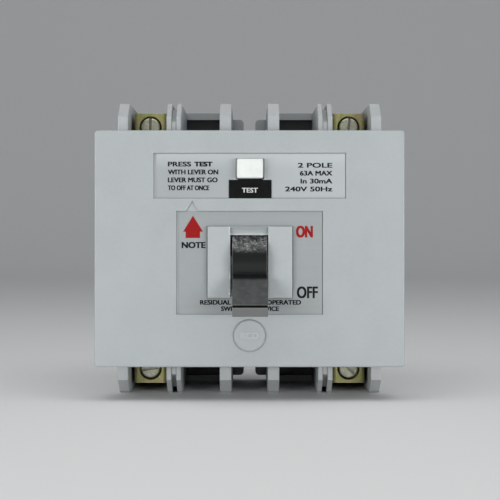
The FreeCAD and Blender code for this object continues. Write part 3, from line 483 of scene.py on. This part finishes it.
def upper_legends():
    """How to test, on the left; placeholder ratings, on the right; the plate under the button."""
    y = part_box("upper_label")[0].y
    left_lines = (("PRESS", -17.4), ("WITH LEVER ON", -9.3), ("LEVER MUST GO", -9.5),
                  ("TO OFF AT ONCE", -12.0))
    for row, (words, end) in enumerate(left_lines):
        legend(f"legend_left_{row}", words, (LEFT_BLOCK_X, end), line_span(LEFT_BLOCK_TOP, row), y,
               "ink_black", FINE_WEIGHT)
    legend("legend_left_test", "TEST", (-16.5, -11.0), line_span(LEFT_BLOCK_TOP, 0), y,
           "ink_black", 0.15)
    right_lines = (("2 POLE", 14.4), ("63A MAX", 15.0), ("In 30mA", 15.2), ("240V 50Hz", 10.6))
    for row, (words, start) in enumerate(right_lines):
        legend(f"legend_right_{row}", words, (start, RIGHT_BLOCK_X),
               line_span(RIGHT_BLOCK_TOP, row), y, "ink_black", FINE_WEIGHT)
    plate_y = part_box("test_legend_plate")[0].y
    legend("legend_test", "TEST", (-2.3, 2.5), (16.7, 18.15), plate_y, "ink_white", 0.06)


def lower_legends():
    """Arrow, switch positions and type of device."""
    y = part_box("lower_label")[0].y
    arrow = [(-16.85, 9.84), (-19.8, 5.07), (-19.05, 5.07), (-19.05, 3.2), (-14.75, 3.2),
             (-14.75, 5.07), (-13.85, 5.07)]
    flat_print("legend_arrow", arrow, y, "ink_red")
    for name, words, span_x, span_z, material, weight in (
            ("legend_note", "NOTE", (-20.25, -13.1), (0.15, 2.0), "ink_black", 0.13),
            ("legend_on", "ON", (13.85, 18.9), (3.3, 6.85), "ink_red", 0.2),
            ("legend_off", "OFF", (14.1, 20.4), (-14.8, -11.25), "ink_black", 0.15),
            ("legend_type_1", "RESIDUAL CURRENT OPERATED", (-14.75, 15.4), (-16.7, -15.3),
             "ink_black", FINE_WEIGHT),
            ("legend_type_2", "SWITCHING DEVICE", (-8.5, 8.8), (-18.6, -17.2),
             "ink_black", FINE_WEIGHT)):
        legend(name, words, span_x, span_z, y, material, weight)


def cap_mark():
    """Raised mark on the cover-screw cap, in a paler copy of the cap's plastic that paints the light
    on its relief.
    """
    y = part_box("cover_screw_cap")[0].y
    legend("cap_mark", "RCD", (-2.7, 2.7), (-26.8, -24.9), y, "lit_mark_plastic", 0.12, CAP_MARK_T)


# ---------------------------------------------------------------- stage, light, camera
def sweep_floor():
    """Pale floor that curves up into a backdrop far behind."""
    outline = [(FLOOR_NEAR, 0.0), (BEND_START, 0.0)]
    for step in range(1, BEND_STEPS + 1):
        turn = math.pi / 2 * step / BEND_STEPS
        outline.append((BEND_START + BEND_RADIUS * math.sin(turn),
                        BEND_RADIUS * (1 - math.cos(turn))))
    outline.append((BEND_START + BEND_RADIUS, WALL_TOP))
    sides = (-FLOOR_HALF_WIDTH, FLOOR_HALF_WIDTH)
    vertices = [(side, y, cad_low.z + rise) for y, rise in outline for side in sides]
    faces = [(2 * i, 2 * i + 1, 2 * i + 3, 2 * i + 2) for i in range(len(outline) - 1)]
    mesh = bpy.data.meshes.new("floor")
    mesh.from_pydata(vertices, [], faces)
    mesh.polygons.foreach_set("use_smooth", [True] * len(faces))
    mesh.materials.append(Finish("floor_paper", (0.76, 0.76, 0.755), 0.7).material)
    floor = bpy.data.objects.new("floor", mesh)
    scene.collection.objects.link(floor)


def area_light(name, location, target, size, power):
    data = bpy.data.lights.new(name, "AREA")
    data.shape = "RECTANGLE"
    data.size, data.size_y = size
    data.energy = power
    lamp = bpy.data.objects.new(name, data)
    scene.collection.objects.link(lamp)
    lamp.location = location
    lamp.rotation_euler = (Vector(target) - Vector(location)).to_track_quat("-Z", "Y").to_euler()


def level_along(tree, component, zone, start, end):
    """Goes from one level to another as a component of the direction crosses a zone."""
    node = tree.nodes.new("ShaderNodeMapRange")
    tree.links.new(component, node.inputs["Value"])
    for socket, value in (("From Min", zone[0]), ("From Max", zone[1]), ("To Min", start),
                          ("To Max", end)):
        node.inputs[socket].default_value = value
    return node.outputs["Result"]


def studio_light():
    """A light tent: bright all round, darker behind the camera, with a softbox overhead."""
    world = bpy.data.worlds.new("studio")
    world.use_nodes = True
    scene.world = world
    tree = world.node_tree
    background = tree.nodes["Background"]
    background.inputs["Color"].default_value = (*TENT_COLOUR, 1)
    direction = tree.nodes.new("ShaderNodeTexCoord").outputs["Generated"]
    separate = tree.nodes.new("ShaderNodeSeparateXYZ")
    tree.links.new(direction, separate.inputs["Vector"])
    front = level_along(tree, separate.outputs["Y"], TENT_FRONT_Y, TENT, TENT_FRONT)
    height = level_along(tree, separate.outputs["Z"], TENT_HEIGHT_Z, TENT_LOW, TENT_HIGH)
    product = tree.nodes.new("ShaderNodeMath")
    product.operation = "MULTIPLY"
    tree.links.new(front, product.inputs[0])
    tree.links.new(height, product.inputs[1])
    tree.links.new(product.outputs["Value"], background.inputs["Strength"])
    area_light("top_softbox", location=(0.0, -0.28, 0.6), target=(0, -0.04, 0), size=(1.0, 0.5),
               power=TOP_POWER)
    for side in (-1, 1):
        area_light("low_fill", location=(side * 0.36, -0.5, 0.0), target=(0, -0.04, -0.04),
                   size=(0.3, 0.08), power=LOW_POWER)


def straight_camera():
    """Straight-on view from a little above the middle."""
    data = bpy.data.cameras.new("camera")
    camera = bpy.data.objects.new("camera", data)
    scene.collection.objects.link(camera)
    scene.camera = camera
    cover_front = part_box("front_cover")[0].y
    camera.location = (0, cover_front - CAMERA_DISTANCE, CAMERA_Z)
    camera.rotation_euler = (math.pi / 2, 0, 0)
    data.sensor_width = SENSOR_WIDTH
    data.lens = SENSOR_WIDTH * CAMERA_DISTANCE / VIEW_WIDTH
    data.shift_x = 0.001
    data.shift_y = -0.022
    data.clip_start = 0.01


finish_cad_nodes()
upper_legends()
lower_legends()
cap_mark()
sweep_floor()
studio_light()
straight_camera()
scene.view_settings.view_transform = "Standard"
